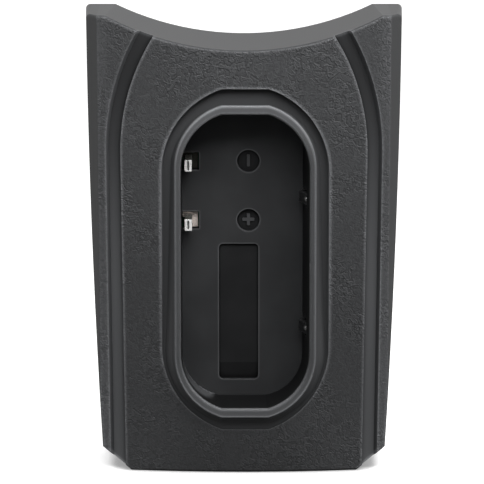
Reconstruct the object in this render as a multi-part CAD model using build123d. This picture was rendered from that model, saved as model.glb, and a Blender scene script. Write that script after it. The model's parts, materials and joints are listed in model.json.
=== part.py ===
"""Battery charging plate: a moulded cradle that adapts a charger to one battery.

The plate stands on its bottom edge.  X runs to the right, Y runs from the battery
side to the flat back, and Z runs up.  The origin is at the middle of the bounding
box's underside.  All sizes are in millimetres.
"""
from build123d import *
from math import asin, atan2, cos, degrees, radians, sin, sqrt, tan
import os

os.makedirs("parts", exist_ok=True)

# ---------------------------------------------------------------- driving sizes
# Plate outline at its flat back, seen from the battery side.
plate_height = 88.1
top_half_width = 30.1
bottom_half_width = 27.6        # where the sides meet the bottom corner cuts
side_bow = 0.5                  # how far each side bulges past its chord
side_draft = 2.4                # degrees that the sides lean in towards the front
corner_cut_width = 6.15
corner_cut_height = 5.0
top_arc_radius = 56.0
top_flat = 4.2                  # from each side to the concave stretch of the top
top_flat_fall = 1.9             # degrees that the flats fall towards the back
top_corner_radius = 0.9

# Plate depth, measured forward from the flat back.
depth_top = 22.0
depth_bottom = 18.2
crown_radius = 150.0            # the battery side is crowned across its width
side_wall = 2.0
face_wall = 2.4
edge_round = 0.45

# Facet along each front side edge.
facet_width = 2.8
facet_angle = 58.0

# Curved groove on each side of the face.
groove_inset_top = 7.0          # from the plate's side to the groove's inner edge
groove_inset_base = 5.1
groove_width = 2.8
groove_depth = 0.95
groove_lean = 0.75              # its outer wall leans out by this much for each mm of depth
groove_bend_drop = 25.8         # from the plate's top to where the groove starts to bend
groove_inner_radius = 42.0
groove_flare = 0.5              # by which its outer edge's radius is larger

# Battery pocket.
pocket_x = 0.25
pocket_rise = 0.3               # of its middle above the middle of the face
pocket_depth = 10.3
mouth_half_width = 12.1
mouth_half_height = 28.2
mouth_corner_radius = 11.2
end_flat = 4.4                  # half of the flat at the pocket's top and bottom
left_wall_draft = 0.1
right_wall_draft = 1.2
end_wall_draft = 0.2
corner_draft = 2.7              # by which the corners are tighter at the floor
pocket_wall = 1.8

# Lip round the pocket's mouth.
lip_stand = 0.23                # over the face, at the pocket's middle
lip_width = 1.2
lip_end_width = 1.75            # at the pocket's top and bottom
lip_height = 0.3                # of its upright outer edge
lip_inner_round = 0.45
lip_outer_round = 0.22

# Sunk band round the lip: a cove that falls from the lip to the band's own floor.
band_width = 2.45
band_rise = 3.05
band_lift = 0.35                # of the band's middle above the pocket's
band_corner_radius = 17.0
band_sink_top = 1.75            # of the band's floor below the face, at the plate's top
cove_radius = 5.5
cove_slopes = (60, 50, 40, 30, 20)

# Battery contacts, each in a square hole at the floor's left edge.
contact_inset = 1.65            # from the mouth's left edge
contact_rise = 17.6             # of the upper contact above the pocket's middle
contact_pitch = 11.4
contact_hole = 3.4
contact_foot = 2.9
contact_foot_thickness = 0.4
contact_foot_sink = 0.9         # front of the foot, below the pocket floor
foot_top_bar = 0.9
foot_side_bar = 1.3
blade_offset = -0.3
blade_width = 1.35
blade_length = 2.2
blade_reach = 4.8               # how far a blade stands above the pocket floor
blade_round = 0.15
blade_slot = 0.36
blade_slot_length = 1.6
blade_slot_depth = 1.4

# Polarity dimples and the bare label recess in the pocket floor.
dimple_shift = 0.6              # right of the pocket's middle
dimple_radius = 2.15
dimple_depth = 0.8
mark_length = 2.3
mark_width = 0.6
mark_height = 0.3
label_shift = -1.25             # middle of the recess, from the pocket's middle
label_drop = 11.65
label_width = 7.5
label_height = 26.5
label_depth = 0.5
label_end_depth = 1.2           # at its lower end, where the recess dips
label_dip = 3.2                 # height over which it dips
label_corner = 0.8

# Pocket floor plate.
floor_thickness = 2.0
floor_plate_margin = 2.5        # from its sides to the shell's walls
floor_plate_lap = 0.5           # past the outside of the pocket's end walls
floor_plate_corner = 3.0
hole_clearance = 0.2            # round a screw's shank, a screw's head or a pillar

# Rear cover.
cover_thickness = 2.0
cover_gap = 0.15
locating_bore_radius = 2.0
locating_bore_depth = 4.0
locating_bore_wall = 1.4
locating_bore_spacing = 36.0
locating_bore_drop = 10.9       # below the pocket's middle
hook_recess_width = 11.0
hook_recess_height = 3.0
hook_recess_depth = 1.2
hook_recess_drop = 13.8         # of the upper recess, below the plate's top
hook_recess_rise = 8.0          # of the lower recess, above its base

# Battery catches, which slide sideways out of the pocket's right wall.
catch_rise = (11.25, -13.7)     # upper, lower, from the pocket's middle
catch_height = 2.2
catch_lift = 1.0                # rear face, in front of the pocket floor
catch_depth = 4.7
catch_peak_place = 1.1          # highest point of the ramp, in front of the rear face
catch_stand = 0.95              # how far the peak stands out of the wall
catch_nose = 0.35               # flat at the peak
catch_inset = 0.15              # of the ramp's ends behind the wall's face
catch_clearance = 0.3
catch_slit = 0.8                # wider gap over each catch
catch_flange = 1.2
catch_flange_overhang = 1.0
catch_travel = 1.1
catch_peg_radius = 1.0
catch_peg_length = 2.2
tip_radius = 0.55
tip_stand = 0.3
tip_place = 0.8                 # behind the ramp's front end
spring_radius = 1.6
spring_wire = 0.2
spring_turns = 6
spring_room = 5.4               # between the catch's flange and the retainer
retainer_wall = 1.2
retainer_base = 1.3
retainer_height = 4.9
retainer_margin = 4.4
retainer_peg_length = 1.2
retainer_screw_inset = 2.15     # from the retainer's wall
retainer_screw_offset = 4.8     # from the middle between the catches

# Circuit board and what it carries, placed from the contacts' line and the
# pocket's middle height.
board_thickness = 1.6
board_standoff = 1.7
board_left = -4.3
board_right = 16.7
board_low = -5.9
board_high = 25.1
board_post_radius = 2.4
board_posts = ((13.6, 21.9), (-1.2, -2.7))
tail_depth = 1.2
tail_reach = 0.6                # how far a contact's tail passes the board
solder_radius = 1.25
solder_top_radius = 0.95
solder_height = 0.5
resistor_size = (2.0, 1.25, 0.6)
resistor_cap = 0.35
resistor_waist = 0.06           # how much thinner a resistor is between its ends
resistors = ((11.7, 9.1), (11.7, 12.1))
fuse_size = (4.6, 3.2, 1.0)
fuse_round = 0.33
fuse = (6.2, 17.6)

# Charger terminals in the rear cover.
terminal_pitch = 6.4
terminal_shift = 0.4            # of the first terminal from the contacts' line
terminal_rise = 0.1             # above the pocket's middle
terminal_width = 3.0
terminal_height = 7.5
terminal_thickness = 0.4
terminal_sink = 0.5             # below the plate's back
terminal_frame = 0.3            # edge of the cover that each terminal rests on
terminal_leg_width = 1.8

# Self-tapping screws: shank radius, head radius, head height.
screw_shank = 1.1
screw_head = 2.0
screw_head_height = 0.9
screw_sink = 0.2                # head below the cover's outside
screw_pillar = 2.9
screw_bite = 5.0
screw_end_gap = 0.4
small_shank = 0.8
small_head = 1.5
small_head_height = 0.8
small_bite = 1.5
drive_width = 0.45              # of a head's cross recess
drive_depth = 0.5
cover_screw_insets = ((7.85, 10.3), (9.0, 7.2))     # top pair, bottom pair
floor_screw_inset = 4.2         # from the floor plate's side
floor_screw_rise = 22.1         # above and below the pocket's middle

# ---------------------------------------------------------------- derived sizes
shoulder = top_half_width - top_flat
crest_z = plate_height - top_arc_radius + sqrt(top_arc_radius**2 - shoulder**2)
half_depth = (depth_bottom + (depth_top - depth_bottom) * crest_z / plate_height) / 2
pocket_z = crest_z / 2 + pocket_rise
face_mid = depth_bottom + (depth_top - depth_bottom) * pocket_z / plate_height
facet_half_width = top_half_width - facet_width
groove_x_top = top_half_width - groove_inset_top
groove_x_base = bottom_half_width - groove_inset_base
groove_bend_z = plate_height - groove_bend_drop
groove_outer_radius = groove_inner_radius + groove_flare
lip_forward = face_mid + lip_stand
floor_forward = lip_forward - pocket_depth
floor_back = floor_forward - floor_thickness
board_front = floor_back - board_standoff
board_back = board_front - board_thickness
contact_x = pocket_x - mouth_half_width + contact_inset
contact_z = (pocket_z + contact_rise, pocket_z + contact_rise - contact_pitch)
dimple_x = pocket_x + dimple_shift
catch_z = [pocket_z + rise for rise in catch_rise]
catch_back = floor_forward + catch_lift
catch_front = catch_back + catch_depth
catch_mid = (catch_back + catch_front) / 2
catch_peak = catch_back + catch_peak_place
tip_forward = catch_front - tip_place
pocket_outside = pocket_x + mouth_half_width + pocket_wall
flange_x = pocket_outside + catch_clearance
peg_x = flange_x + catch_flange
retainer_x = peg_x + spring_room
retainer_screw_x = retainer_x - retainer_screw_inset
terminal_x = contact_x + terminal_shift
terminal_z = pocket_z + terminal_rise
locating_bore_z = pocket_z - locating_bore_drop
floor_plate_width = 2 * (bottom_half_width - side_wall - floor_plate_margin)
floor_plate_height = 2 * (mouth_half_height + pocket_wall + floor_plate_lap)
(top_inset, top_drop), (base_inset, base_rise) = cover_screw_insets
cover_screw_places = [(side * (top_half_width - top_inset), plate_height - top_drop)
                      for side in (-1, 1)]
cover_screw_places += [(side * (bottom_half_width - base_inset), base_rise)
                       for side in (-1, 1)]
floor_screw_places = [(side * (floor_plate_width / 2 - floor_screw_inset),
                       pocket_z + way * floor_screw_rise) for side in (-1, 1) for way in (-1, 1)]
board_post_places = [(contact_x + x, pocket_z + z) for x, z in board_posts]
resistor_places = [(contact_x + x, pocket_z + z) for x, z in resistors]
fuse_place = (contact_x + fuse[0], pocket_z + fuse[1])
far = 3 * plate_height          # longer than the plate in every direction
past = side_wall                # how far a cutter runs past what it cuts


# ---------------------------------------------------------------- shared helpers
def section_plane(forward):
    """The upright plane a distance forward of the plate's back, facing the battery side."""
    return Plane.XZ.offset(forward - half_depth)


def prism(sketch, back, front):
    """A sketch in x and z, extruded between two distances forward of the back."""
    placed = section_plane(back) * sketch
    return extrude(placed, amount=front - back, dir=(0, -1, 0))


def block(x_low, x_high, back, front, z_low, z_high):
    """A box from its limits, with the depth given forward of the plate's back."""
    middle = ((x_low + x_high) / 2, half_depth - (back + front) / 2, (z_low + z_high) / 2)
    return Pos(*middle) * Box(x_high - x_low, front - back, z_high - z_low)


def rod(x, z, radius, back, front):
    """A round bar that runs front to back."""
    return prism(Pos(x, z) * Circle(radius), back, front)


def face_forward(x, z):
    """Depth of the crowned, wedge-shaped face at a place on it."""
    wedge = depth_bottom + (depth_top - depth_bottom) * z / plate_height
    return wedge - (crown_radius - sqrt(crown_radius**2 - x**2))


def crowned_body(below_face=0.0, top_depth=depth_top):
    """A tilted cylinder whose front line is the crowned face, or lies below it."""
    angle = atan2(top_depth - depth_bottom, plate_height)
    axis_y = half_depth - depth_bottom + crown_radius / cos(angle)
    return Pos(0, axis_y, 0) * Rot(X=degrees(angle)) * Cylinder(crown_radius - below_face, far)


# ---------------------------------------------------------------- outlines
def plate_outline():
    """Bottom flat, corner cuts, bowed sides, short top flats and the concave top."""
    foot = bottom_half_width - corner_cut_width
    bow = ((bottom_half_width + top_half_width) / 2 + side_bow,
           (corner_cut_height + plate_height) / 2)
    edges = [Line((-foot, 0), (foot, 0)),
             ThreePointArc((-shoulder, plate_height), (0, crest_z), (shoulder, plate_height))]
    for side in (-1, 1):
        low = (side * bottom_half_width, corner_cut_height)
        high = (side * top_half_width, plate_height)
        edges += [Line((side * foot, 0), low),
                  ThreePointArc(low, (side * bow[0], bow[1]), high),
                  Line(high, (side * shoulder, plate_height))]
    return make_face(edges)


def side_cutter(side, inset=0.0):
    """What lies outside a bowed side, or outside its inner wall, with the side's draft."""
    low = Vector(bottom_half_width, corner_cut_height)
    chord = Vector(top_half_width, plate_height) - low
    radius = (chord.length**2 / 4 + side_bow**2) / (2 * side_bow)
    inward = Vector(-chord.Y, chord.X).normalized()
    centre = low + chord / 2 + inward * (radius - side_bow)
    strip = Pos(bottom_half_width, plate_height / 2) * Rectangle(facet_half_width, plate_height * 2)
    outside = section_plane(0) * (strip - Pos(centre.X, centre.Y) * Circle(radius - inset))
    lean = radians(side_draft)
    cutter = extrude(outside, amount=depth_top * 2, dir=(-sin(lean), -cos(lean), 0))
    return cutter if side > 0 else mirror(cutter, Plane.YZ)


def flat_cutter():
    """What lies above the top flats, which fall towards the back."""
    front = (0, half_depth - depth_top, plate_height)
    flats = Plane(origin=front, x_dir=(1, 0, 0),
                  z_dir=(0, sin(radians(top_flat_fall)), cos(radians(top_flat_fall))))
    return flats * Pos(0, 0, past / 2) * Box(far, depth_top * 3, past)


def pocket_shape(half_width, half_height, corner_radius):
    """An upright rounded shape with large corner arcs and short flats at its ends."""
    rise = sqrt(corner_radius**2 - (corner_radius - half_width + end_flat) ** 2)
    sweep_angle = degrees(asin(rise / corner_radius))
    arc_x = half_width - corner_radius
    arc_z = half_height - rise
    edges = [Line((-end_flat, half_height), (end_flat, half_height)),
             Line((-end_flat, -half_height), (end_flat, -half_height)),
             Line((-half_width, -arc_z), (-half_width, arc_z)),
             Line((half_width, -arc_z), (half_width, arc_z)),
             CenterArc((arc_x, arc_z), corner_radius, 0, sweep_angle),
             CenterArc((-arc_x, arc_z), corner_radius, 180 - sweep_angle, sweep_angle),
             CenterArc((-arc_x, -arc_z), corner_radius, 180, sweep_angle),
             CenterArc((arc_x, -arc_z), corner_radius, 360 - sweep_angle, sweep_angle)]
    return Pos(pocket_x, pocket_z) * make_face(edges)


def grown_pocket_shape(grow, rise=None, corner_radius=None):
    """The pocket's mouth, made larger all round."""
    return pocket_shape(mouth_half_width + grow,
                        mouth_half_height + (grow if rise is None else rise),
                        corner_radius or mouth_corner_radius + grow)


def wall_x(forward):
    """The pocket's right wall, at a distance forward of the plate's back."""
    depth = (lip_forward - forward) / (lip_forward - floor_forward)
    return pocket_x + mouth_half_width - right_wall_draft * depth


def pocket_section(forward):
    """The pocket's opening at a depth; the walls lean by their draft."""
    depth = (lip_forward - forward) / (lip_forward - floor_forward)
    left = mouth_half_width - left_wall_draft * depth
    right = mouth_half_width - right_wall_draft * depth
    height = mouth_half_height - end_wall_draft * depth
    corner = mouth_corner_radius - corner_draft * depth
    shape = pocket_shape((left + right) / 2, height, corner)
    return section_plane(forward) * Pos((right - left) / 2, 0) * shape


def groove_line(side, shift, radius):
    """A groove's edge: a straight stretch, then an arc that leans in at the top."""
    base = side * (groove_x_base + shift)
    bend = side * (groove_x_top + shift)
    reach = groove_bend_drop + past
    angle = asin(reach / radius)
    end = (bend - side * radius * (1 - cos(angle)), groove_bend_z + reach)
    middle = (bend - side * radius * (1 - cos(angle / 2)), groove_bend_z + radius * sin(angle / 2))
    return [Line((base, -past), (bend, groove_bend_z)),
            ThreePointArc((bend, groove_bend_z), middle, end)]


def groove_outline(side, width):
    """The band that a groove covers at one depth, past the plate's top and bottom."""
    inner = groove_line(side, 0, groove_inner_radius)
    outer = groove_line(side, width, groove_outer_radius + width - groove_width)
    return make_face([*inner, *outer, Line(inner[0] @ 0, outer[0] @ 0),
                      Line(inner[1] @ 1, outer[1] @ 1)])


# ---------------------------------------------------------------- front shell
def plate_blank():
    """The plate's outer form behind the crowned face, with its drafted sides."""
    blank = prism(plate_outline(), 0, depth_top + past) - flat_cutter()
    for side in (-1, 1):
        blank -= side_cutter(side)
    corners = blank.edges().filter_by(lambda e: abs(e.tangent_at(0.5).Y) > 0.9)
    corners = corners.filter_by(lambda e: e.center().Z > crest_z and abs(e.center().X) > shoulder)
    corners = corners.sort_by(lambda e: abs(e.center().X))[-2:]
    return fillet(corners, top_corner_radius)


def facet_cutter(side):
    """What lies in front of the slanted facet along one side edge."""
    wedge = atan2(depth_top - depth_bottom, plate_height)
    start = (side * facet_half_width, half_depth - face_forward(facet_half_width, 0), 0)
    across = Vector(side * cos(radians(facet_angle)), sin(radians(facet_angle)), 0)
    along = Vector(0, -sin(wedge), cos(wedge))
    normal = across.cross(along) * side
    facet = Plane(origin=start, x_dir=across, z_dir=normal)
    return facet * Pos(0, 0, past * 2) * Box(half_depth * 3, far, past * 4)


def leaning_plane(forward):
    """A plane that leans with the face; forward is measured at the plate's base."""
    wedge = atan2(depth_top - depth_bottom, plate_height)
    return Plane(origin=(0, half_depth - forward, 0), x_dir=(1, 0, 0),
                 z_dir=(0, -cos(wedge), -sin(wedge)))


def groove_cutter(side):
    """An upright inner wall, a leaning outer wall and a floor that follows the crown."""
    edge_forward = face_forward(groove_x_top + groove_width, 0)
    sections = []
    for rise in (-2 * groove_depth, 3 * groove_depth):
        outline = groove_outline(side, groove_width + rise * groove_lean)
        sections.append(leaning_plane(edge_forward + rise) * outline)
    return loft(sections, ruled=True) - crowned_body(groove_depth)


def rim_shape(share):
    """An outline between the lip's outside, at share 0, and the band's outside, at 1."""
    radius = mouth_corner_radius + lip_width
    shape = grown_pocket_shape(lip_width + band_width * share, lip_end_width + band_rise * share,
                               radius + (band_corner_radius - radius) * share)
    return Pos(0, band_lift * share) * shape


def lip_body():
    """The solid under the band and the lip: the band's floor, the cove and the lip."""
    start = cove_slopes[0]
    sections = [section_plane(floor_forward) * rim_shape(1)]
    for slope in reversed(cove_slopes):
        share = cove_radius * (sin(radians(start)) - sin(radians(slope))) / band_width
        drop = lip_height + cove_radius * (cos(radians(slope)) - cos(radians(start)))
        sections.append(section_plane(lip_forward - drop) * rim_shape(share))
    cove = loft(sections, ruled=True)
    lip = prism(rim_shape(0), floor_forward, lip_forward)
    return crowned_body(top_depth=depth_top - band_sink_top) + cove + lip


def shell_outer():
    """The closed outer form, with facets, grooves, sunk band and lip."""
    body = plate_blank() & crowned_body()
    for side in (-1, 1):
        body -= facet_cutter(side)
    front_edges = body.edges().filter_by(lambda e: e.center().Y < half_depth - depth_bottom / 2)
    front_edges = front_edges.filter_by(lambda e: abs(e.tangent_at(0.5).Y) < 0.5)
    body = fillet(front_edges, edge_round)
    for side in (-1, 1):
        body -= groove_cutter(side)
    seat = prism(rim_shape(1), floor_forward, depth_top + past)
    return (body - seat) + (seat & lip_body())


def shell_hollow():
    """The room behind the face, around the pocket's wall and the screw pillars."""
    inside = offset(plate_outline(), amount=-side_wall, kind=Kind.INTERSECTION)
    hollow = prism(inside, 0, depth_top) & crowned_body(face_wall)
    for side in (-1, 1):
        hollow -= side_cutter(side, side_wall)
    hollow -= prism(grown_pocket_shape(pocket_wall), floor_forward, depth_top)
    for x, z in floor_screw_places:
        hollow -= rod(x, z, screw_pillar, floor_forward, depth_top)
    for x, z in cover_screw_places:
        hollow -= rod(x, z, screw_pillar, cover_thickness, depth_top)
    return hollow


def catch_window(z):
    """The slot in the pocket's right wall that a catch comes through."""
    low = z - catch_height / 2 - catch_clearance
    high = z + catch_height / 2 + catch_slit
    return block(wall_x(floor_forward) - past, pocket_outside + past / 2,
                 catch_back - catch_clearance, catch_front + catch_clearance, low, high)


def lip_top(shell):
    """The flat top of the lip."""
    y = half_depth - lip_forward
    flats = shell.faces().filter_by(Plane.XZ)
    return flats.filter_by(lambda f: abs(f.center().Y - y) < 0.001)[0]


def make_front_shell():
    shell = shell_outer() - shell_hollow()
    shell -= loft([pocket_section(floor_forward - past), pocket_section(depth_top + past)],
                  ruled=True)
    shell = fillet(lip_top(shell).inner_wires().edges(), lip_inner_round)
    shell = fillet(lip_top(shell).outer_wire().edges(), lip_outer_round)
    for z in catch_z:
        shell -= catch_window(z)
    for x, z in floor_screw_places:
        shell -= rod(x, z, screw_shank, floor_forward, floor_forward + screw_bite)
    for x, z in cover_screw_places:
        shell -= rod(x, z, screw_shank, cover_thickness, cover_thickness + screw_bite)
    return shell


# ---------------------------------------------------------------- pocket floor
def polarity_mark(z, crossed):
    """A raised bar in a dimple, crossed for the positive contact."""
    low = floor_forward - dimple_depth
    bar = prism(Pos(dimple_x, z) * RectangleRounded(mark_width, mark_length, mark_width / 3),
                low, low + mark_height)
    if crossed:
        bar += prism(Pos(dimple_x, z) * RectangleRounded(mark_length, mark_width, mark_width / 3),
                     low, low + mark_height)
    return bar


def label_recess():
    """A shallow recess with round corners, which dips towards its lower end."""
    x = pocket_x + label_shift
    z = pocket_z - label_drop
    outline = Pos(x, z) * RectangleRounded(label_width, label_height, label_corner)
    low = z - label_height / 2
    front = half_depth - floor_forward
    slope = Polyline((front, low), (front, low + label_dip), (front + label_depth, low + label_dip),
                     (front + label_end_depth, low), close=True)
    wedge = Pos(x, 0, 0) * extrude(Plane.YZ * make_face(slope), amount=label_width / 2, both=True)
    dip = wedge & prism(outline, floor_forward - label_end_depth, floor_forward)
    return prism(outline, floor_forward - label_depth, floor_forward) + dip


def make_pocket_floor():
    """The plate that closes the pocket and carries the contacts and the board."""
    outline = Pos(0, pocket_z) * RectangleRounded(floor_plate_width, floor_plate_height,
                                                  floor_plate_corner)
    plate = prism(outline, floor_back, floor_forward)
    for x, z in board_post_places:
        plate += rod(x, z, board_post_radius, board_front, floor_back)
        plate -= rod(x, z, small_shank, board_front, board_front + small_bite)
    for x, z in floor_screw_places:
        plate -= rod(x, z, screw_shank + hole_clearance, floor_back, floor_forward)
    for x, z in cover_screw_places:
        plate -= rod(x, z, screw_pillar + hole_clearance, floor_back, floor_forward)
    for z in retainer_screw_z():
        plate -= rod(retainer_screw_x, z, small_shank, floor_back, floor_forward)
    for index, z in enumerate(contact_z):
        hole = Pos(contact_x, z) * Rectangle(contact_hole, contact_hole)
        plate -= prism(hole, floor_back, floor_forward)
        plate -= rod(dimple_x, z, dimple_radius, floor_forward - dimple_depth, floor_forward)
        plate += polarity_mark(z, crossed=index == 1)
    return plate - label_recess()


# ---------------------------------------------------------------- battery contacts
def contact_tail(z, back, front):
    """The part of a contact that passes through the board."""
    x = contact_x + blade_offset
    return block(x - blade_width / 2, x + blade_width / 2, back, front,
                 z - tail_depth / 2, z + tail_depth / 2)


def make_contact(z):
    """An angled foot in the floor's hole, a folded blade in front and a tail behind."""
    half = contact_foot / 2
    x = contact_x + blade_offset
    foot_front = floor_forward - contact_foot_sink
    foot_back = foot_front - contact_foot_thickness
    tip = floor_forward + blade_reach
    blade = block(x - blade_width / 2, x + blade_width / 2, foot_back, tip,
                  z - blade_length / 2, z + blade_length / 2)
    blade = fillet(blade.edges().filter_by(Axis.Y), blade_round)
    blade -= block(x - blade_slot / 2, x + blade_slot / 2, tip - blade_slot_depth, tip,
                   z - blade_slot_length / 2, z + blade_slot_length / 2)
    top_bar = block(contact_x - half, contact_x + half, foot_back, foot_front,
                    z + half - foot_top_bar, z + half)
    side_bar = block(contact_x + half - foot_side_bar, contact_x + half, foot_back, foot_front,
                     z - half, z + half)
    tail = contact_tail(z, board_back - tail_reach, foot_back)
    return blade + top_bar + side_bar + tail


# ---------------------------------------------------------------- board
def terminal_xs():
    return [terminal_x + terminal_pitch * index for index in range(3)]


def terminal_leg(x, back, front):
    """The upright leg of a charger terminal."""
    top = terminal_z + terminal_height / 2
    return block(x - terminal_leg_width / 2, x + terminal_leg_width / 2, back, front,
                 top - terminal_thickness, top)


def make_circuit_board():
    board = block(contact_x + board_left, contact_x + board_right, board_back, board_front,
                  pocket_z + board_low, pocket_z + board_high)
    board = fillet(board.edges().filter_by(Axis.Y), board_thickness / 2)
    for x, z in board_post_places:
        board -= rod(x, z, small_shank + hole_clearance, board_back, board_front)
    for z in contact_z:
        board -= contact_tail(z, board_back, board_front)
    for x in terminal_xs():
        board -= terminal_leg(x, board_back, board_front)
    return board


def solder_cone(x, z, base, away):
    """A flat cone of solder that stands on the board's surface at base."""
    turn = 90 if away > 0 else -90
    middle = half_depth - (base + away * solder_height / 2)
    return Pos(x, middle, z) * Rot(X=turn) * Cone(solder_radius, solder_top_radius, solder_height)


def make_board_solder():
    """Solder where the contacts' tails and the terminals' legs come through."""
    joints = []
    for z in contact_z:
        cone = solder_cone(contact_x + blade_offset, z, board_back, -1)
        joints.append(cone - contact_tail(z, board_back - solder_height * 2, board_back))
    leg_z = terminal_z + (terminal_height - terminal_thickness) / 2
    for x in terminal_xs():
        cone = solder_cone(x, leg_z, board_front, 1)
        joints.append(cone - terminal_leg(x, board_front, board_front + solder_height * 2))
    return Compound(joints)


def chip(place, size):
    """A small block on the back of the board, with its ends along X."""
    x, z = place
    return block(x - size[0] / 2, x + size[0] / 2, board_back - size[2], board_back,
                 z - size[1] / 2, z + size[1] / 2)


def make_coding_resistors():
    """Two chip resistors, each thinner between its soldered ends."""
    groups = []
    for place in resistor_places:
        body = chip(place, resistor_size)
        middle = chip(place, (resistor_size[0] - 2 * resistor_cap, resistor_size[1] * 2,
                              resistor_size[2]))
        groups.append(body - Pos(0, resistor_size[2] - resistor_waist, 0) * middle)
    return Compound(groups)


def make_resettable_fuse():
    body = chip(fuse_place, fuse_size)
    return fillet(body.edges().filter_by(Axis.Y), fuse_round)


# ---------------------------------------------------------------- rear cover
def make_rear_cover():
    """The flat back plate, let in between the shell's walls."""
    outline = offset(plate_outline(), amount=-(side_wall + cover_gap), kind=Kind.INTERSECTION)
    cover = prism(outline, 0, cover_thickness)
    for x, z in cover_screw_places:
        cover -= rod(x, z, screw_shank + hole_clearance, 0, cover_thickness)
        cover -= rod(x, z, screw_head + hole_clearance, 0, screw_sink + screw_head_height)
    for side in (-1, 1):
        x = side * locating_bore_spacing / 2
        cover += rod(x, locating_bore_z, locating_bore_radius + locating_bore_wall,
                     cover_thickness, locating_bore_depth + locating_bore_wall)
        cover -= rod(x, locating_bore_z, locating_bore_radius, 0, locating_bore_depth)
    for x in terminal_xs():
        place = Pos(x, terminal_z)
        frame = place * Rectangle(terminal_width - 2 * terminal_frame,
                                  terminal_height - 2 * terminal_frame)
        cover -= prism(frame, 0, cover_thickness)
        cover -= prism(place * Rectangle(terminal_width, terminal_height),
                       terminal_sink, cover_thickness)
    for z in (plate_height - hook_recess_drop, hook_recess_rise):
        recess = Pos(0, z) * RectangleRounded(hook_recess_width, hook_recess_height,
                                              hook_recess_height / 4)
        cover -= prism(recess, 0, hook_recess_depth)
    return cover


def make_terminal(x):
    """A flat pad in the cover's window, bent up into a leg that reaches the board."""
    pad = block(x - terminal_width / 2, x + terminal_width / 2,
                terminal_sink, terminal_sink + terminal_thickness,
                terminal_z - terminal_height / 2, terminal_z + terminal_height / 2)
    return pad + terminal_leg(x, terminal_sink, board_front + tail_reach)


# ---------------------------------------------------------------- battery catches
def ramp_points():
    """The catch's nose in plan: x and the distance forward of the plate's back."""
    peak = wall_x(catch_peak) - catch_stand
    return [(wall_x(catch_back) + catch_inset, catch_back), (peak, catch_peak - catch_nose / 2),
            (peak, catch_peak + catch_nose / 2), (wall_x(catch_front) + catch_inset, catch_front)]


def tip_ball(z):
    """The steel ball let into the catch's ramp."""
    low, high = ramp_points()[2:]
    share = (tip_forward - low[1]) / (high[1] - low[1])
    ramp_x = low[0] + (high[0] - low[0]) * share
    return Pos(ramp_x + tip_radius - tip_stand, half_depth - tip_forward, z) * Sphere(tip_radius)


def bar_along_x(x_low, x_high, radius, z):
    """A round bar on a catch's line of travel."""
    return (Pos((x_low + x_high) / 2, half_depth - catch_mid, z) * Rot(Y=90)
            * Cylinder(radius, x_high - x_low))


def make_catch(z):
    """A ramped nose through the wall, a flange behind the wall and a spring peg."""
    outline = [*ramp_points(), (flange_x, catch_front), (flange_x, catch_back)]
    corners = [(x, half_depth - forward) for x, forward in outline]
    nose = extrude(Pos(0, 0, z - catch_height / 2) * make_face(Polyline(*corners, close=True)),
                   amount=catch_height, dir=(0, 0, 1))
    peak = nose.edges().filter_by(Axis.Z).sort_by(Axis.X)[:2]
    nose = fillet(peak, catch_nose / 3)
    half_flange = catch_height / 2 + catch_flange_overhang
    flange = block(flange_x, peg_x, catch_back, catch_front, z - half_flange, z + half_flange)
    return nose + flange + bar_along_x(peg_x, peg_x + catch_peg_length, catch_peg_radius, z) \
        - tip_ball(z)


def make_catch_spring(z):
    """A coil between the catch's flange and the retainer's wall."""
    gap = spring_wire / 4
    start = peg_x + spring_wire + gap
    length = retainer_x - peg_x - 2 * (spring_wire + gap)
    line = Helix(pitch=length / spring_turns, height=length, radius=spring_radius - spring_wire,
                 center=(start, half_depth - catch_mid, z), direction=(1, 0, 0))
    section = Plane(origin=line @ 0, z_dir=line % 0) * Circle(spring_wire)
    return sweep(section, path=line, is_frenet=True)


def retainer_screw_z():
    middle = sum(catch_z) / 2
    return (middle + retainer_screw_offset, middle - retainer_screw_offset)


def make_catch_retainer():
    """A foot on the pocket floor plate and a wall that both springs push against."""
    low = min(catch_z) - retainer_margin
    high = max(catch_z) + retainer_margin
    outside = retainer_x + retainer_wall
    foot_left = peg_x + catch_travel + catch_clearance
    foot = block(foot_left, outside, floor_forward, floor_forward + retainer_base, low, high)
    wall = block(retainer_x, outside, floor_forward, floor_forward + retainer_height, low, high)
    retainer = foot + wall
    for z in catch_z:
        retainer += bar_along_x(retainer_x - retainer_peg_length, retainer_x + retainer_wall / 2,
                                catch_peg_radius, z)
    for z in retainer_screw_z():
        retainer -= rod(retainer_screw_x, z, small_shank + hole_clearance, floor_forward,
                        floor_forward + retainer_base)
    return retainer


# ---------------------------------------------------------------- screws
def screw(x, z, seat, reach, shank, head, head_height, way=1):
    """A pan-head screw whose head sits on a surface; way 1 drives it forward."""
    def span(radius, near, far_end):
        low, high = sorted((seat + way * near, seat + way * far_end))
        return rod(x, z, radius, low, high)

    body = span(shank, 0, reach - shank) + span(head, -head_height, 0)
    tip_middle = seat + way * (reach - shank / 2)
    tip = Cone(shank, shank / 3, shank)
    body += Pos(x, half_depth - tip_middle, z) * Rot(X=90 * way) * tip
    low, high = sorted((seat - way * head_height, seat - way * (head_height - drive_depth)))
    for width, height in ((head, drive_width), (drive_width, head)):
        body -= block(x - width / 2, x + width / 2, low, high, z - height / 2, z + height / 2)
    return body


def make_cover_screws():
    seat = screw_sink + screw_head_height
    reach = cover_thickness - seat + screw_bite - screw_end_gap
    return Compound([screw(x, z, seat, reach, screw_shank, screw_head, screw_head_height)
                     for x, z in cover_screw_places])


def make_floor_screws():
    reach = floor_thickness + screw_bite - screw_end_gap
    return Compound([screw(x, z, floor_back, reach, screw_shank, screw_head, screw_head_height)
                     for x, z in floor_screw_places])


def make_board_screws():
    reach = board_thickness + small_bite - screw_end_gap
    return Compound([screw(x, z, board_back, reach, small_shank, small_head, small_head_height)
                     for x, z in board_post_places])


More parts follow.
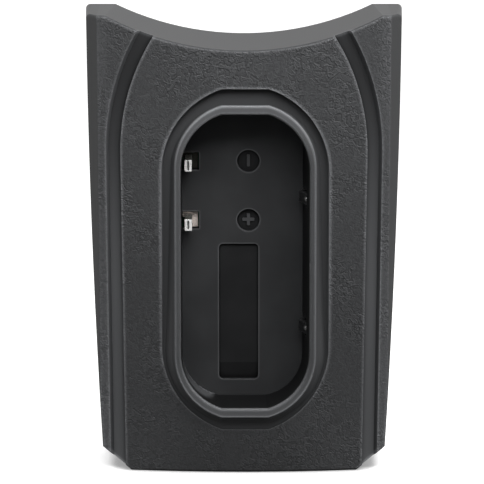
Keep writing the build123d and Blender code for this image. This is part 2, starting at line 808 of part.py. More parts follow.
def make_retainer_screws():
    seat = floor_forward + retainer_base
    reach = retainer_base + floor_thickness - screw_end_gap
    return Compound([screw(retainer_screw_x, z, seat, reach, small_shank, small_head,
                           small_head_height, way=-1) for z in retainer_screw_z()])


# ---------------------------------------------------------------- write the parts
def make_parts():
    parts = {
        "front_shell": make_front_shell(),
        "pocket_floor": make_pocket_floor(),
        "rear_cover": make_rear_cover(),
        "circuit_board": make_circuit_board(),
        "coding_resistors": make_coding_resistors(),
        "resettable_fuse": make_resettable_fuse(),
        "board_solder": make_board_solder(),
        "catch_retainer": make_catch_retainer(),
        "cover_screws": make_cover_screws(),
        "floor_screws": make_floor_screws(),
        "board_screws": make_board_screws(),
        "retainer_screws": make_retainer_screws(),
    }
    for name, z in zip(("negative_contact", "positive_contact"), contact_z):
        parts[name] = make_contact(z)
    for name, x in zip(("positive_terminal", "sense_terminal", "negative_terminal"),
                       terminal_xs()):
        parts[name] = make_terminal(x)
    for name, z in zip(("upper", "lower"), catch_z):
        parts[f"{name}_catch"] = make_catch(z)
        parts[f"{name}_catch_tip"] = tip_ball(z)
        parts[f"{name}_catch_spring"] = make_catch_spring(z)
    return parts


for name, shape in make_parts().items():
    export_step(shape, f"parts/{name}.step")
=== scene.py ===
"""Looks of the battery charging plate: finishes, studio floor, soft light and camera."""
import json
import math

import bpy
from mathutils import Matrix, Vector


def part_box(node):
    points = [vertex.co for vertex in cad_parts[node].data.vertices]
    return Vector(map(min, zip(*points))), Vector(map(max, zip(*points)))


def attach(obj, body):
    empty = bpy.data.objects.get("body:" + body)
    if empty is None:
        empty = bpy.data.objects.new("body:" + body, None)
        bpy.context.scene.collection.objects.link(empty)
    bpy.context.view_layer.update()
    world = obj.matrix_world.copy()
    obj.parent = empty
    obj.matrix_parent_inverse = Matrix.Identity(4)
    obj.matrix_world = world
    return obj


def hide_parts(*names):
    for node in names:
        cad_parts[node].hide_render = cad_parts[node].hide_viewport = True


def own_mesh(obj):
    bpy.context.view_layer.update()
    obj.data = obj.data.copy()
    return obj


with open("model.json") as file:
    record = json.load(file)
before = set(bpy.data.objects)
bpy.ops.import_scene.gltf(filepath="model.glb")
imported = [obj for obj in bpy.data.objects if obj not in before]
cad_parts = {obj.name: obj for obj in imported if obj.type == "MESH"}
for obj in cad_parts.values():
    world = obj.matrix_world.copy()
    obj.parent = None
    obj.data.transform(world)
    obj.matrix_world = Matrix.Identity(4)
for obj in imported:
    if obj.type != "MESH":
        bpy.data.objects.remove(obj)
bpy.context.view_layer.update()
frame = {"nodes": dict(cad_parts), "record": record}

MM = 0.001

# Places on the plate that its finishes follow, in metres. A depth is measured from the flat back.
SHELL_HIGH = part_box("front_shell")[1]
BACK_Y = SHELL_HIGH.y
PLATE_HEIGHT = SHELL_HIGH.z
DEPTH_TOP = 22.0 * MM               # of the face, at the plate's top
DEPTH_BOTTOM = 18.2 * MM            # and at its base
CROWN_RADIUS = 150.0 * MM
FACET_HALF_WIDTH = 27.3 * MM        # half the width of the crowned face
GROOVE_BASE = 22.5 * MM             # inner edge of a groove, at the plate's base
GROOVE_BEND = 23.1 * MM             # and where it starts to bend
GROOVE_BEND_Z = 62.3 * MM
GROOVE_WIDTH = 2.8 * MM
GROOVE_DEPTH = 1.0 * MM
POCKET = next(row for row in frame["record"]["mounts"] if row["name"] == "battery_pocket")
POCKET_X, _, POCKET_Z = POCKET["pos_m"]
LIP_DEPTH = 20.2 * MM               # flat top of the lip
OUTLINE_FLAT = 4.4 * MM             # half of the straight run at the pocket's top and bottom
# Half width, half height, corner radius and middle height of the outlines round the pocket.
MOUTH = (12.1 * MM, 28.2 * MM, 11.2 * MM, POCKET_Z)
LIP = (13.3 * MM, 29.95 * MM, 12.4 * MM, POCKET_Z)
BAND = (15.75 * MM, 33.0 * MM, 17.0 * MM, POCKET_Z + 0.35 * MM)
FLOOR_DEPTH = BACK_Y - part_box("pocket_floor")[0].y
MARK_DEPTH = FLOOR_DEPTH - 0.5 * MM     # tops of the polarity marks in the dimples
FOOT_DEPTH = FLOOR_DEPTH - 0.9 * MM     # front of a contact's foot
SPRING_WIRE = 0.2 * MM                  # radius of a catch spring's wire
SPRING_TURNS = 6
SPRING_STEPS = 24                       # points on each turn


# ---------------------------------------------------------------- node helpers
COOL = (0.97, 0.99, 1.03)           # tint of the plastics
NEUTRAL = (1.0, 1.0, 1.0)


def grey(level, tint=COOL):
    return tuple(level * channel for channel in tint) + (1.0,)


class Nodes:
    """Short calls that build a node tree."""

    def __init__(self, tree):
        self.tree = tree
        self.tree.nodes.clear()

    def add(self, kind, **settings):
        node = self.tree.nodes.new(kind)
        for key, value in settings.items():
            setattr(node, key, value)
        return node

    def put(self, socket, value):
        """Links a socket, or sets its value."""
        if isinstance(value, bpy.types.NodeSocket):
            self.tree.links.new(value, socket)
        else:
            socket.default_value = value

    def math(self, operation, first, second=0.0, third=None):
        """One Math node; MULTIPLY_ADD takes a third value."""
        node = self.add("ShaderNodeMath", operation=operation)
        values = [first, second] if third is None else [first, second, third]
        for socket, value in zip(node.inputs, values):
            self.put(socket, value)
        return node.outputs[0]

    def most(self, first, *others):
        """The largest of several values."""
        for other in others:
            first = self.math("MAXIMUM", first, other)
        return first

    def flip(self, value):
        """1 for 0, and 0 for 1."""
        return self.math("SUBTRACT", 1.0, value)

    def ramp(self, value, low, high, out_low=0.0, out_high=1.0):
        """A smooth step of a value between two limits."""
        node = self.add("ShaderNodeMapRange", interpolation_type="SMOOTHSTEP")
        for socket, given in zip(node.inputs, (value, low, high, out_low, out_high)):
            self.put(socket, given)
        return node.outputs["Result"]

    def position(self):
        """Where a surface point lies in the part's own frame."""
        return self.add("ShaderNodeTexCoord").outputs["Object"]

    def split(self, vector):
        node = self.add("ShaderNodeSeparateXYZ")
        self.put(node.inputs[0], vector)
        return node.outputs

    def noise(self, scale, detail=2.0, roughness=0.5, vector=None):
        node = self.add("ShaderNodeTexNoise")
        self.put(node.inputs["Vector"], vector or self.position())
        node.inputs["Scale"].default_value = scale
        node.inputs["Detail"].default_value = detail
        node.inputs["Roughness"].default_value = roughness
        return node.outputs["Fac"]

    def cells(self, scale):
        node = self.add("ShaderNodeTexVoronoi")
        self.put(node.inputs["Vector"], self.position())
        node.inputs["Scale"].default_value = scale
        return node.outputs["Distance"]

    def mix_colour(self, factor, first, second):
        node = self.add("ShaderNodeMix", data_type="RGBA")
        first_socket, second_socket, result = node.inputs[6], node.inputs[7], node.outputs[2]
        self.put(node.inputs["Factor"], factor)
        self.put(first_socket, first)
        self.put(second_socket, second)
        return result

    def mix_grey(self, factor, levels):
        """From the first to the second of two grey levels."""
        return self.mix_colour(factor, grey(levels[0]), grey(levels[1]))

    def mix_value(self, factor, first, second):
        node = self.add("ShaderNodeMix", data_type="FLOAT")
        first_socket, second_socket, result = node.inputs[2], node.inputs[3], node.outputs[0]
        self.put(node.inputs["Factor"], factor)
        self.put(first_socket, first)
        self.put(second_socket, second)
        return result

    def mix_shader(self, factor, first, second):
        node = self.add("ShaderNodeMixShader")
        for socket, value in zip(node.inputs, (factor, first, second)):
            self.put(socket, value)
        return node.outputs[0]

    def bump(self, height, distance, strength=1.0, normal=None):
        node = self.add("ShaderNodeBump")
        self.put(node.inputs["Height"], height)
        node.inputs["Distance"].default_value = distance
        self.put(node.inputs["Strength"], strength)
        if normal is not None:
            self.put(node.inputs["Normal"], normal)
        return node.outputs["Normal"]

    def rounded_normal(self, radius):
        """Softens the sharp edges of a solid by a small radius."""
        node = self.add("ShaderNodeBevel", samples=8)
        node.inputs["Radius"].default_value = radius
        return node.outputs["Normal"]

    def openness(self, distance):
        """1 on open surfaces and outer edges, less in inner corners."""
        node = self.add("ShaderNodeAmbientOcclusion", samples=8, only_local=True)
        node.inputs["Distance"].default_value = distance
        return node.outputs["AO"]

    def outer_edges(self, reach):
        """1 along a solid's outer edges and 0 elsewhere; the finishes paint highlights and some
        wear there.
        """
        node = self.add("ShaderNodeAmbientOcclusion", samples=8, only_local=True, inside=True)
        node.inputs["Distance"].default_value = reach
        return self.ramp(node.outputs["AO"], 0.93, 0.66)

    def scale_colour(self, colour, *factors):
        """A colour made lighter or darker by several factors."""
        for factor in factors:
            node = self.add("ShaderNodeVectorMath", operation="SCALE")
            self.put(node.inputs[0], colour)
            self.put(node.inputs["Scale"], factor)
            colour = node.outputs[0]
        return colour


class Finish(Nodes):
    """One material with a Principled shader."""

    SOCKETS = {"colour": "Base Color", "roughness": "Roughness", "metallic": "Metallic",
               "normal": "Normal", "specular": "Specular IOR Level", "coat": "Coat Weight"}

    def __init__(self, name, **values):
        self.material = bpy.data.materials.new(name)
        self.material.use_nodes = True
        super().__init__(self.material.node_tree)
        self.output = self.add("ShaderNodeOutputMaterial")
        self.shader = self.add("ShaderNodeBsdfPrincipled")
        self.put(self.output.inputs["Surface"], self.shader.outputs["BSDF"])
        self.set(**values)

    def set(self, **values):
        for key, value in values.items():
            self.put(self.shader.inputs[self.SOCKETS[key]], value)
        return self.material


# ---------------------------------------------------------------- shell finish
# Grey levels of the shell's surfaces. A pair goes from the first to the second.
FACE_GREY = (0.048, 0.053)          # over soft blotches
# Painted light: the strips are lighter than the face, and lighter still towards the plate's base.
STRIP_LIT_GREY = (0.060, 0.092)         # from the plate's top to its base
# Painted light: the groove floors are dark at their upper end and lighter downwards.
GROOVE_LIT_GREY = (0.026, 0.11)         # from the grooves' upper end downwards
# Painted sheen: the lip is lighter than the face, most at its top and bottom.
LIP_LIT_GREY = (0.065, 0.115)           # from its sides to its top and bottom
# Painted light: the groove walls are lightened against their shade.
GROOVE_WALL_LIT_GREY = 0.055
BAND_GREY = 0.048
# Painted highlight on the band's outer edge.
BAND_EDGE_HIGHLIGHT_GREY = 0.13
SIDE_GREY = 0.030
FACET_GREY = 0.022
# Painted shade on the pocket's walls below the lip.
POCKET_WALL_SHADE_GREY = 0.009


def past_outline(nodes, x, z, outline):
    """How far a place lies outside one of the round-cornered outlines; negative inside."""
    half_width, half_height, radius, middle = outline
    across = nodes.math("ABSOLUTE", nodes.math("SUBTRACT", x, POCKET_X))
    up = nodes.math("ABSOLUTE", nodes.math("SUBTRACT", z, middle))
    reach = half_width - OUTLINE_FLAT
    rise = math.sqrt(radius**2 - (radius - reach) ** 2)
    dx = nodes.math("SUBTRACT", across, half_width - radius)
    dz = nodes.math("MAXIMUM", nodes.math("SUBTRACT", up, half_height - rise), 0.0)
    squares = nodes.math("ADD", nodes.math("MULTIPLY", dx, dx), nodes.math("MULTIPLY", dz, dz))
    arc = nodes.math("SUBTRACT", nodes.math("SQRT", squares), radius)
    return nodes.math("MAXIMUM", arc, nodes.math("SUBTRACT", up, half_height))


def inside(nodes, x, z, outline, grow=0.0):
    """1 inside an outline and 0 outside it."""
    edge = past_outline(nodes, x, z, outline)
    return nodes.ramp(edge, grow - 0.1 * MM, grow + 0.1 * MM, 1.0, 0.0)


def drop_from_face(nodes, x, y, z):
    """How far a place lies below the crowned, sloping face."""
    slope = (DEPTH_TOP - DEPTH_BOTTOM) / PLATE_HEIGHT
    wedge = nodes.math("MULTIPLY_ADD", z, slope, DEPTH_BOTTOM)
    crown = nodes.math("MULTIPLY", nodes.math("MULTIPLY", x, x), 0.5 / CROWN_RADIUS)
    face = nodes.math("SUBTRACT", wedge, crown)
    return nodes.math("SUBTRACT", face, nodes.math("SUBTRACT", BACK_Y, y))


def outer_strip(nodes, x, z):
    """1 on the strips between the grooves and the side edges."""
    lean = (GROOVE_BEND - GROOVE_BASE) / GROOVE_BEND_Z
    edge = nodes.math("MULTIPLY_ADD", z, lean, GROOVE_BASE + 0.5 * GROOVE_WIDTH)
    past = nodes.math("SUBTRACT", nodes.math("ABSOLUTE", x), edge)
    return nodes.ramp(past, 0.0, 0.6 * GROOVE_WIDTH)


class ShellRegions:
    """Masks that are 1 on one kind of the shell's surfaces and 0 elsewhere."""

    def __init__(self, nodes):
        x, y, z = nodes.split(nodes.position())
        facing = nodes.split(nodes.add("ShaderNodeNewGeometry").outputs["Normal"])
        drop = drop_from_face(nodes, x, y, z)
        depth = nodes.math("SUBTRACT", BACK_Y, y)
        past_lip_top = nodes.ramp(depth, LIP_DEPTH - 0.3 * MM, LIP_DEPTH - 0.9 * MM)
        mouth = inside(nodes, x, z, MOUTH, grow=0.2 * MM)
        self.x = x
        self.z = z
        self.turned = nodes.ramp(facing[1], -0.90, -0.75)
        self.facet = nodes.ramp(nodes.math("ABSOLUTE", x), FACET_HALF_WIDTH,
                                FACET_HALF_WIDTH + 0.1 * MM)
        self.strip = outer_strip(nodes, x, z)
        self.band = inside(nodes, x, z, BAND)
        self.band_edge_highlight = self.painted_band_edge(nodes)
        self.lip = inside(nodes, x, z, LIP, grow=0.1 * MM)
        # Painted shade: the pocket's walls below the lip.
        self.shaded_pocket_wall = nodes.math("MULTIPLY", mouth, past_lip_top)
        self.sunk = nodes.ramp(drop, 0.2 * MM, 0.4 * MM)
        self.groove_floor = nodes.math("MULTIPLY", self.sunk, nodes.flip(self.turned))
        past_groove = nodes.ramp(drop, GROOVE_DEPTH, GROOVE_DEPTH + 0.3 * MM)
        facing_up = nodes.ramp(facing[2], 0.5, 0.7)
        other = nodes.most(past_groove, self.facet, facing_up)
        self.groove_wall = nodes.math("MULTIPLY", self.turned, nodes.flip(other))
        self.grained = nodes.flip(nodes.most(self.band, self.sunk, self.facet, self.turned))

    def painted_band_edge(self, nodes):
        """The band's outer edge, as a painted highlight line that fades out towards the plate's
        base.
        """
        away = nodes.math("ABSOLUTE", past_outline(nodes, self.x, self.z, BAND))
        line = nodes.ramp(away, 0.10 * MM, 0.25 * MM, 1.0, 0.0)
        return nodes.math("MULTIPLY", line, nodes.ramp(self.z, 0.1 * PLATE_HEIGHT,
                                                       0.6 * PLATE_HEIGHT))


def line_at(nodes, value, level, reach):
    """1 where a value is at a level, falling to 0 over a reach on both sides."""
    away = nodes.math("ABSOLUTE", nodes.math("SUBTRACT", value, level))
    return nodes.ramp(away, reach, 0.0)


def grain(nodes):
    """The leathery grain's height, and how it lightens or darkens the skin."""
    fine = nodes.noise(2600.0, detail=2.0, roughness=0.6)
    patch = nodes.noise(650.0, detail=1.0)
    nubs = nodes.math("MULTIPLY", nodes.ramp(nodes.cells(1500.0), 0.34, 0.10),
                      nodes.ramp(patch, 0.52, 0.62))
    pits = nodes.math("MULTIPLY", nodes.ramp(nodes.cells(1150.0), 0.30, 0.12),
                      nodes.ramp(patch, 0.50, 0.42))
    specks = nodes.math("SUBTRACT", nodes.math("MULTIPLY", nubs, 0.6),
                        nodes.math("MULTIPLY", pits, 0.5))
    wander = nodes.noise(1000.0, detail=1.0, roughness=0.6)
    ridges = nodes.math("SUBTRACT", line_at(nodes, wander, 0.57, 0.08),
                        line_at(nodes, wander, 0.45, 0.08))
    strength = nodes.ramp(nodes.noise(120.0, detail=2.0), 0.40, 0.60, 0.3, 1.0)
    marks = nodes.math("ADD", specks, nodes.math("MULTIPLY", ridges, strength))
    height = nodes.math("MULTIPLY_ADD", marks, 0.9, fine)
    tone = nodes.math("MULTIPLY_ADD", marks, 0.21, nodes.ramp(fine, 0.30, 0.72, 0.88, 1.12))
    return height, tone


def face_colour(nodes, at, tone):
    """The grained face and strips, with painted shade at the middle of the base and painted light
    on the strips.
    """
    blotch = nodes.ramp(nodes.noise(60.0, detail=3.0), 0.3, 0.7)
    face = nodes.mix_grey(blotch, FACE_GREY)
    strip = nodes.mix_grey(nodes.ramp(at.z, 0.8 * PLATE_HEIGHT, 0.0), STRIP_LIT_GREY)
    face = nodes.mix_colour(at.strip, face, strip)
    # Painted shade: the middle of the base is darkened.
    middle = nodes.ramp(nodes.math("ABSOLUTE", at.x), 20.0 * MM, 5.0 * MM)
    base = nodes.math("MULTIPLY", middle, nodes.ramp(at.z, 0.15 * PLATE_HEIGHT, 0.0))
    return nodes.scale_colour(face, tone, nodes.math("MULTIPLY_ADD", base, -0.35, 1.0))


def lip_colour(nodes, at):
    """The lip with painted sheen, paler at its ends, and a painted highlight along its outer rim.
    """
    past_middle = nodes.math("ABSOLUTE", nodes.math("SUBTRACT", at.z, POCKET_Z))
    tone = nodes.mix_grey(nodes.ramp(past_middle, 18.0 * MM, 28.0 * MM), LIP_LIT_GREY)
    # Painted highlight along the lip's outer rim.
    rim = nodes.ramp(past_outline(nodes, at.x, at.z, LIP), -0.55 * MM, -0.2 * MM, 0.78, 1.15)
    return nodes.scale_colour(tone, rim)


def plain_colour(nodes, at):
    """Everything on the shell that has no grain, from the sides to the pocket's walls."""
    groove_lit_downwards = nodes.ramp(at.z, 0.92 * PLATE_HEIGHT, 0.35 * PLATE_HEIGHT)
    colour = nodes.mix_grey(at.facet, (SIDE_GREY, FACET_GREY))
    layers = ((at.groove_floor, nodes.mix_grey(groove_lit_downwards, GROOVE_LIT_GREY)),
              (at.groove_wall, grey(GROOVE_WALL_LIT_GREY)),
              (at.band, grey(BAND_GREY)),
              (at.band_edge_highlight, grey(BAND_EDGE_HIGHLIGHT_GREY)),
              (at.lip, lip_colour(nodes, at)),
              (at.shaded_pocket_wall, grey(POCKET_WALL_SHADE_GREY)))
    for region, layer in layers:
        colour = nodes.mix_colour(region, colour, layer)
    return colour


def shell_plastic():
    """Charcoal plastic: grained on the face, satin on the rim, grooves and top."""
    nodes = Finish("shell_plastic")
    at = ShellRegions(nodes)
    height, tone = grain(nodes)
    colour = nodes.mix_colour(at.grained, plain_colour(nodes, at), face_colour(nodes, at, tone))
    # Painted shade in inner corners, held lighter on the band, its edge and the groove walls.
    corners = nodes.ramp(nodes.openness(1.6 * MM), 0.4, 0.97, 0.45, 1.0)
    shade = nodes.most(corners, at.band_edge_highlight, nodes.math("MULTIPLY", at.band, 0.85),
                       nodes.math("MULTIPLY", at.groove_wall, 0.85))
    # Painted highlights, with some wear, along the outer edges.
    polish = nodes.math("MULTIPLY_ADD", nodes.outer_edges(0.8 * MM), 1.5, 1.0)
    # Painted shade along the bottom edge, where it meets the floor.
    base_edge_shade = nodes.ramp(at.z, 0.2 * MM, 0.7 * MM, 0.2, 1.0)
    colour = nodes.scale_colour(colour, shade, polish, base_edge_shade)
    normal = nodes.bump(nodes.noise(5200.0, detail=2.0), 0.004 * MM, 0.6)
    normal = nodes.bump(height, 0.05 * MM, at.grained, normal=normal)
    return nodes.set(colour=colour, normal=normal,
                     roughness=nodes.mix_value(at.grained, 0.42, 0.55),
                     specular=nodes.mix_value(at.turned, 0.20, 0.10))


# ---------------------------------------------------------------- other finishes
def pocket_floor_colour(nodes, colour, level):
    """Painted shade in the recesses, darker than the floor; painted light on its shadowed upper
    end; the polarity marks lighter.
    """
    _, y, z = nodes.split(nodes.position())
    depth = nodes.math("SUBTRACT", BACK_Y, y)
    recess_shade = nodes.ramp(depth, FLOOR_DEPTH - 0.3 * MM, FLOOR_DEPTH - 0.1 * MM, 0.5, 1.0)
    upper_end_fill_light = nodes.ramp(z, POCKET_Z + 15.0 * MM, POCKET_Z + 27.0 * MM, 1.0, 2.0)
    colour = nodes.scale_colour(colour, recess_shade, upper_end_fill_light)
    above_label = nodes.ramp(z, POCKET_Z + 2.0 * MM, POCKET_Z + 3.0 * MM)
    past_low = nodes.ramp(depth, MARK_DEPTH - 0.05 * MM, MARK_DEPTH - 0.02 * MM)
    past_high = nodes.ramp(depth, MARK_DEPTH + 0.05 * MM, MARK_DEPTH + 0.02 * MM)
    mark = nodes.math("MULTIPLY", above_label, nodes.math("MULTIPLY", past_low, past_high))
    return nodes.mix_colour(mark, colour, grey(level * 1.7))


def smooth_plastic(name, level, roughness, grain_height=0.004 * MM, specular=0.2, recolour=None):
    """Moulded plastic with a satin skin, painted highlights with some wear along its edges, and
    painted shade in its inner corners.
    """
    nodes = Finish(name, specular=specular)
    blotch = nodes.ramp(nodes.noise(120.0, detail=3.0), 0.3, 0.7)
    colour = nodes.mix_grey(blotch, (level * 0.9, level * 1.12))
    # Painted highlights with some wear on outer edges; painted shade in inner corners.
    worn = nodes.math("MULTIPLY_ADD", nodes.outer_edges(0.4 * MM), 1.3, 1.0)
    shade = nodes.ramp(nodes.openness(1.2 * MM), 0.4, 0.97, 0.5, 1.0)
    colour = nodes.scale_colour(colour, worn, shade)
    if recolour:
        colour = recolour(nodes, colour, level)
    polish = nodes.ramp(nodes.noise(700.0, detail=4.0), 0.35, 0.75)
    normal = nodes.bump(nodes.noise(3800.0, detail=3.0), grain_height,
                        normal=nodes.rounded_normal(0.08 * MM))
    return nodes.set(colour=colour, normal=normal,
                     roughness=nodes.mix_value(polish, roughness * 0.9, roughness * 1.15))


def brushed(nodes, roughness):
    """Fine lines and their uneven gloss on a metal."""
    stretch = nodes.add("ShaderNodeMapping")
    nodes.put(stretch.inputs["Vector"], nodes.position())
    stretch.inputs["Scale"].default_value = (1.0, 0.12, 1.0)
    lines = nodes.noise(9000.0, detail=2.0, vector=stretch.outputs[0])
    rough = nodes.mix_value(nodes.ramp(lines, 0.3, 0.7), roughness * 0.8, roughness * 1.3)
    normal = nodes.bump(lines, 0.002 * MM, 0.5, normal=nodes.rounded_normal(0.06 * MM))
    nodes.set(roughness=rough, normal=normal)


def dulled(colour, share):
    return tuple(channel * share for channel in colour[:3]) + (1.0,)


def metal(name, colour, roughness):
    """Brushed metal with a faint stain."""
    nodes = Finish(name, metallic=1.0)
    stain = nodes.ramp(nodes.noise(900.0, detail=3.0), 0.4, 0.7)
    brushed(nodes, roughness)
    return nodes.set(colour=nodes.mix_colour(stain, colour, dulled(colour, 0.86)))


def contact_plating(name, foot_colour):
    """A tin-plated blade on a foot of its own colour; as painted reflections, the blade's front
    end is bright and its sides dark.
    """
    nodes = Finish(name)
    depth = nodes.math("SUBTRACT", BACK_Y, nodes.split(nodes.position())[1])
    blade = nodes.ramp(depth, FOOT_DEPTH + 0.3 * MM, FOOT_DEPTH + 0.6 * MM)
    facing = nodes.split(nodes.add("ShaderNodeNewGeometry").outputs["Normal"])
    # Painted reflections: the blade's front-facing end is bright and its sides dark.
    end = nodes.ramp(facing[1], -0.3, -0.7)
    stain = nodes.ramp(nodes.noise(1200.0, detail=3.0), 0.4, 0.7)
    foot = nodes.mix_colour(stain, foot_colour, dulled(foot_colour, 0.8))
    brushed(nodes, 0.3)
    bright = nodes.mix_colour(end, (0.10, 0.10, 0.09, 1.0), (0.95, 0.95, 0.93, 1.0))
    return nodes.set(metallic=nodes.mix_value(blade, 0.4, 0.2),
                     colour=nodes.mix_colour(blade, foot, bright))


def board_laminate():
    """Green solder mask over a glass weave."""
    nodes = Finish("board_laminate", coat=0.3)
    weave = nodes.noise(2500.0, detail=1.0)
    colour = nodes.mix_colour(nodes.ramp(weave, 0.3, 0.7), (0.015, 0.10, 0.045, 1.0),
                              (0.022, 0.14, 0.06, 1.0))
    return nodes.set(colour=colour, roughness=0.3, normal=nodes.bump(weave, 0.004 * MM, 0.6))


def dress():
    """Gives every CAD node its finish, by the slot that the record names for it."""
    finishes = {
        "shell_plastic": shell_plastic(),
        "floor_plastic": smooth_plastic("floor_plastic", 0.040, 0.4, specular=0.1,
                                        recolour=pocket_floor_colour),
        "cover_plastic": smooth_plastic("cover_plastic", 0.048, 0.5, grain_height=0.03 * MM),
        "retainer_plastic": smooth_plastic("retainer_plastic", 0.040, 0.45),
        "catch_plastic": smooth_plastic("catch_plastic", 0.018, 0.28),
        "fuse_body": smooth_plastic("fuse_body", 0.12, 0.5),
        "chip_ceramic": smooth_plastic("chip_ceramic", 0.02, 0.3),
        "contact_plating": contact_plating("contact_plating", (0.90, 0.80, 0.74, 1.0)),
        "terminal_gold": metal("terminal_gold", (0.86, 0.66, 0.32, 1.0), 0.25),
        "screw_steel": metal("screw_steel", (0.55, 0.55, 0.57, 1.0), 0.32),
        "spring_steel": metal("spring_steel", (0.62, 0.62, 0.64, 1.0), 0.25),
        "tip_steel": metal("tip_steel", (0.20, 0.20, 0.20, 1.0), 0.4),
        "solder": metal("solder", (0.72, 0.72, 0.73, 1.0), 0.3),
        "board_laminate": board_laminate(),
    }
    dark_foot = contact_plating("contact_plating_dark", (0.045, 0.045, 0.036, 1.0))
    slot_of = {row["node"]: row["material_slot"] for row in frame["record"]["subparts"]}
    for name, node in frame["nodes"].items():
        finish = dark_foot if name == "negative_contact" else finishes[slot_of[name]]
        if not node.material_slots:
            node.data.materials.append(finish)
        for slot in node.material_slots:
            slot.material = finish
    for side in ("upper", "lower"):
        make_spring(side, finishes["spring_steel"])


# ---------------------------------------------------------------- catch springs
def coil_mesh(name, low, high):
    """A coil of round wire along X that fills a box."""
    middle = (low + high) / 2
    radius = (high.z - low.z) / 2 - SPRING_WIRE
    start = low.x + SPRING_WIRE
    length = high.x - low.x - 2 * SPRING_WIRE
    steps = SPRING_TURNS * SPRING_STEPS
    curve = bpy.data.curves.new(name, "CURVE")
    curve.dimensions = "3D"
    curve.bevel_depth = SPRING_WIRE
    curve.bevel_resolution = 3
    curve.use_fill_caps = True
    line = curve.splines.new("POLY")
    line.points.add(steps)
    for step, point in enumerate(line.points):
        share = step / steps
        turn = 2 * math.pi * SPRING_TURNS * share
        point.co = (start + length * share, middle.y + radius * math.cos(turn),
                    middle.z + radius * math.sin(turn), 1.0)
    holder = bpy.data.objects.new(name, curve)
    mesh = bpy.data.meshes.new_from_object(holder)
    bpy.data.objects.remove(holder)
    bpy.data.curves.remove(curve)
    for face in mesh.polygons:
        face.use_smooth = True
    return mesh


def make_spring(side, finish):
    """A coil of wire in place of a catch's spring, hung on the housing; it is not made to shorten
    as the catch slides into the wall.
    """
    node = f"{side}_catch_spring"
    low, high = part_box(node)
    coil = bpy.data.objects.new(f"{side}_catch_coil", coil_mesh(f"{side}_catch_coil", low, high))
    bpy.context.scene.collection.objects.link(coil)
    coil.data.materials.append(finish)
    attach(coil, "housing")
    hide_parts(node)
    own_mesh(coil)


# ---------------------------------------------------------------- studio
def make_floor():
    """A wide pale sheet under the part: white where it is seen, with a soft shadow that is partly
    cast and partly painted close to the part.

    It throws little light back up, so that the part's lower half stays dark.
    """
    bpy.ops.mesh.primitive_plane_add(size=6.0, location=(0, 0, 0))
    floor = bpy.context.object
    floor.name = "studio_floor"
    nodes = Finish("studio_floor", roughness=0.7, specular=0.1)
    # Painted contact shadow: an occlusion test lowers the floor's glow and colour close to the
    # part.
    occlusion = nodes.add("ShaderNodeAmbientOcclusion", samples=8)
    occlusion.inputs["Distance"].default_value = 3.0 * MM
    away = occlusion.outputs["AO"]
    glow = nodes.add("ShaderNodeEmission")
    nodes.put(glow.inputs["Strength"], nodes.ramp(away, 0.5, 0.95, 0.25, 0.45))
    nodes.set(colour=nodes.mix_colour(nodes.ramp(away, 0.5, 0.9),
                                      grey(0.45, NEUTRAL), grey(0.86, NEUTRAL)))
    sheet = nodes.add("ShaderNodeAddShader")
    nodes.put(sheet.inputs[0], nodes.shader.outputs["BSDF"])
    nodes.put(sheet.inputs[1], glow.outputs[0])
    dim = nodes.add("ShaderNodeBsdfDiffuse")
    dim.inputs["Color"].default_value = grey(0.06, NEUTRAL)
    path = nodes.add("ShaderNodeLightPath").outputs
    behind = nodes.ramp(nodes.split(nodes.position())[1], -0.05, 0.02)
    in_gloss = nodes.math("MULTIPLY", path["Is Glossy Ray"], behind)
    seen = nodes.most(path["Is Camera Ray"], path["Is Transmission Ray"], in_gloss)
    shown = nodes.mix_shader(seen, dim.outputs[0], sheet.outputs[0])
    nodes.put(nodes.output.inputs["Surface"], shown)
    floor.data.materials.append(nodes.material)


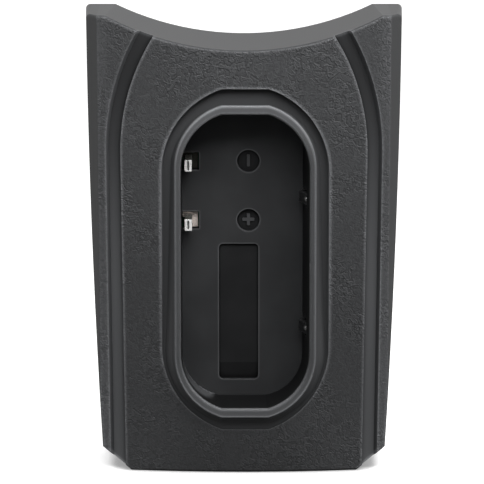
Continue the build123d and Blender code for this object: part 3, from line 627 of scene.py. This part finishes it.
def make_world():
    """White where it is seen; for soft light, bright behind and beside, dark in front."""
    world = bpy.data.worlds.new("studio")
    bpy.context.scene.world = world
    world.use_nodes = True
    nodes = Nodes(world.node_tree)
    towards = nodes.split(nodes.add("ShaderNodeTexCoord").outputs["Generated"])
    round_back = nodes.ramp(towards[1], -0.45, 0.5, 0.24, 0.85)
    above = nodes.ramp(towards[2], 0.2, 1.0, 0.0, 0.45)
    fill = nodes.math("ADD", round_back, above)
    path = nodes.add("ShaderNodeLightPath").outputs
    in_gloss = nodes.math("MULTIPLY", path["Is Glossy Ray"], nodes.ramp(towards[1], -0.5, 0.1))
    seen = nodes.most(path["Is Camera Ray"], path["Is Transmission Ray"], in_gloss)
    background = nodes.add("ShaderNodeBackground")
    background.inputs["Color"].default_value = grey(1.0, NEUTRAL)
    nodes.put(background.inputs["Strength"], nodes.mix_value(seen, fill, 1.0))
    output = nodes.add("ShaderNodeOutputWorld")
    nodes.put(output.inputs["Surface"], background.outputs[0])


def soft_box(name, place, target, width, height, power, spread=180.0):
    """A rectangular studio light that looks at a point."""
    data = bpy.data.lights.new(name, "AREA")
    data.shape = "RECTANGLE"
    data.size = width
    data.size_y = height
    data.energy = power
    data.spread = math.radians(spread)
    lamp = bpy.data.objects.new(name, data)
    bpy.context.scene.collection.objects.link(lamp)
    lamp.location = place
    lamp.rotation_mode = "QUATERNION"
    lamp.rotation_quaternion = (Vector(target) - Vector(place)).to_track_quat("-Z", "Y")
    lamp.visible_camera = False


def make_lights():
    """One box over the plate's front, and a weaker and a stronger one at its sides."""
    soft_box("top_box", place=(0.05, -0.105, 0.19), target=(0, 0, 0.10),
             width=0.30, height=0.09, power=0.29, spread=110.0)
    for name, side, power in (("left_box", -1, 0.5), ("right_box", 1, 0.8)):
        soft_box(name, place=(side * 0.45, -0.03, 0.06), target=(0, 0, 0.03),
                 width=0.25, height=0.20, power=power)


def make_camera():
    """A long lens in front of the plate, a little above it."""
    distance = 0.700
    pitch = math.radians(12.0)
    field = 91.96 * MM              # width seen at that distance
    aim = Vector((-0.36 * MM, -0.14 * MM, 43.33 * MM))
    data = bpy.data.cameras.new("camera")
    data.sensor_width = 36.0
    data.lens = data.sensor_width * distance / field
    data.clip_start = 0.01
    data.clip_end = 20.0
    camera = bpy.data.objects.new("camera", data)
    bpy.context.scene.collection.objects.link(camera)
    forward = Vector((0, math.cos(pitch), -math.sin(pitch)))
    camera.location = aim - forward * distance
    camera.rotation_mode = "QUATERNION"
    camera.rotation_quaternion = forward.to_track_quat("-Z", "Y")
    bpy.context.scene.camera = camera


dress()
make_floor()
make_world()
make_lights()
make_camera()
bpy.context.scene.view_settings.view_transform = "Standard"
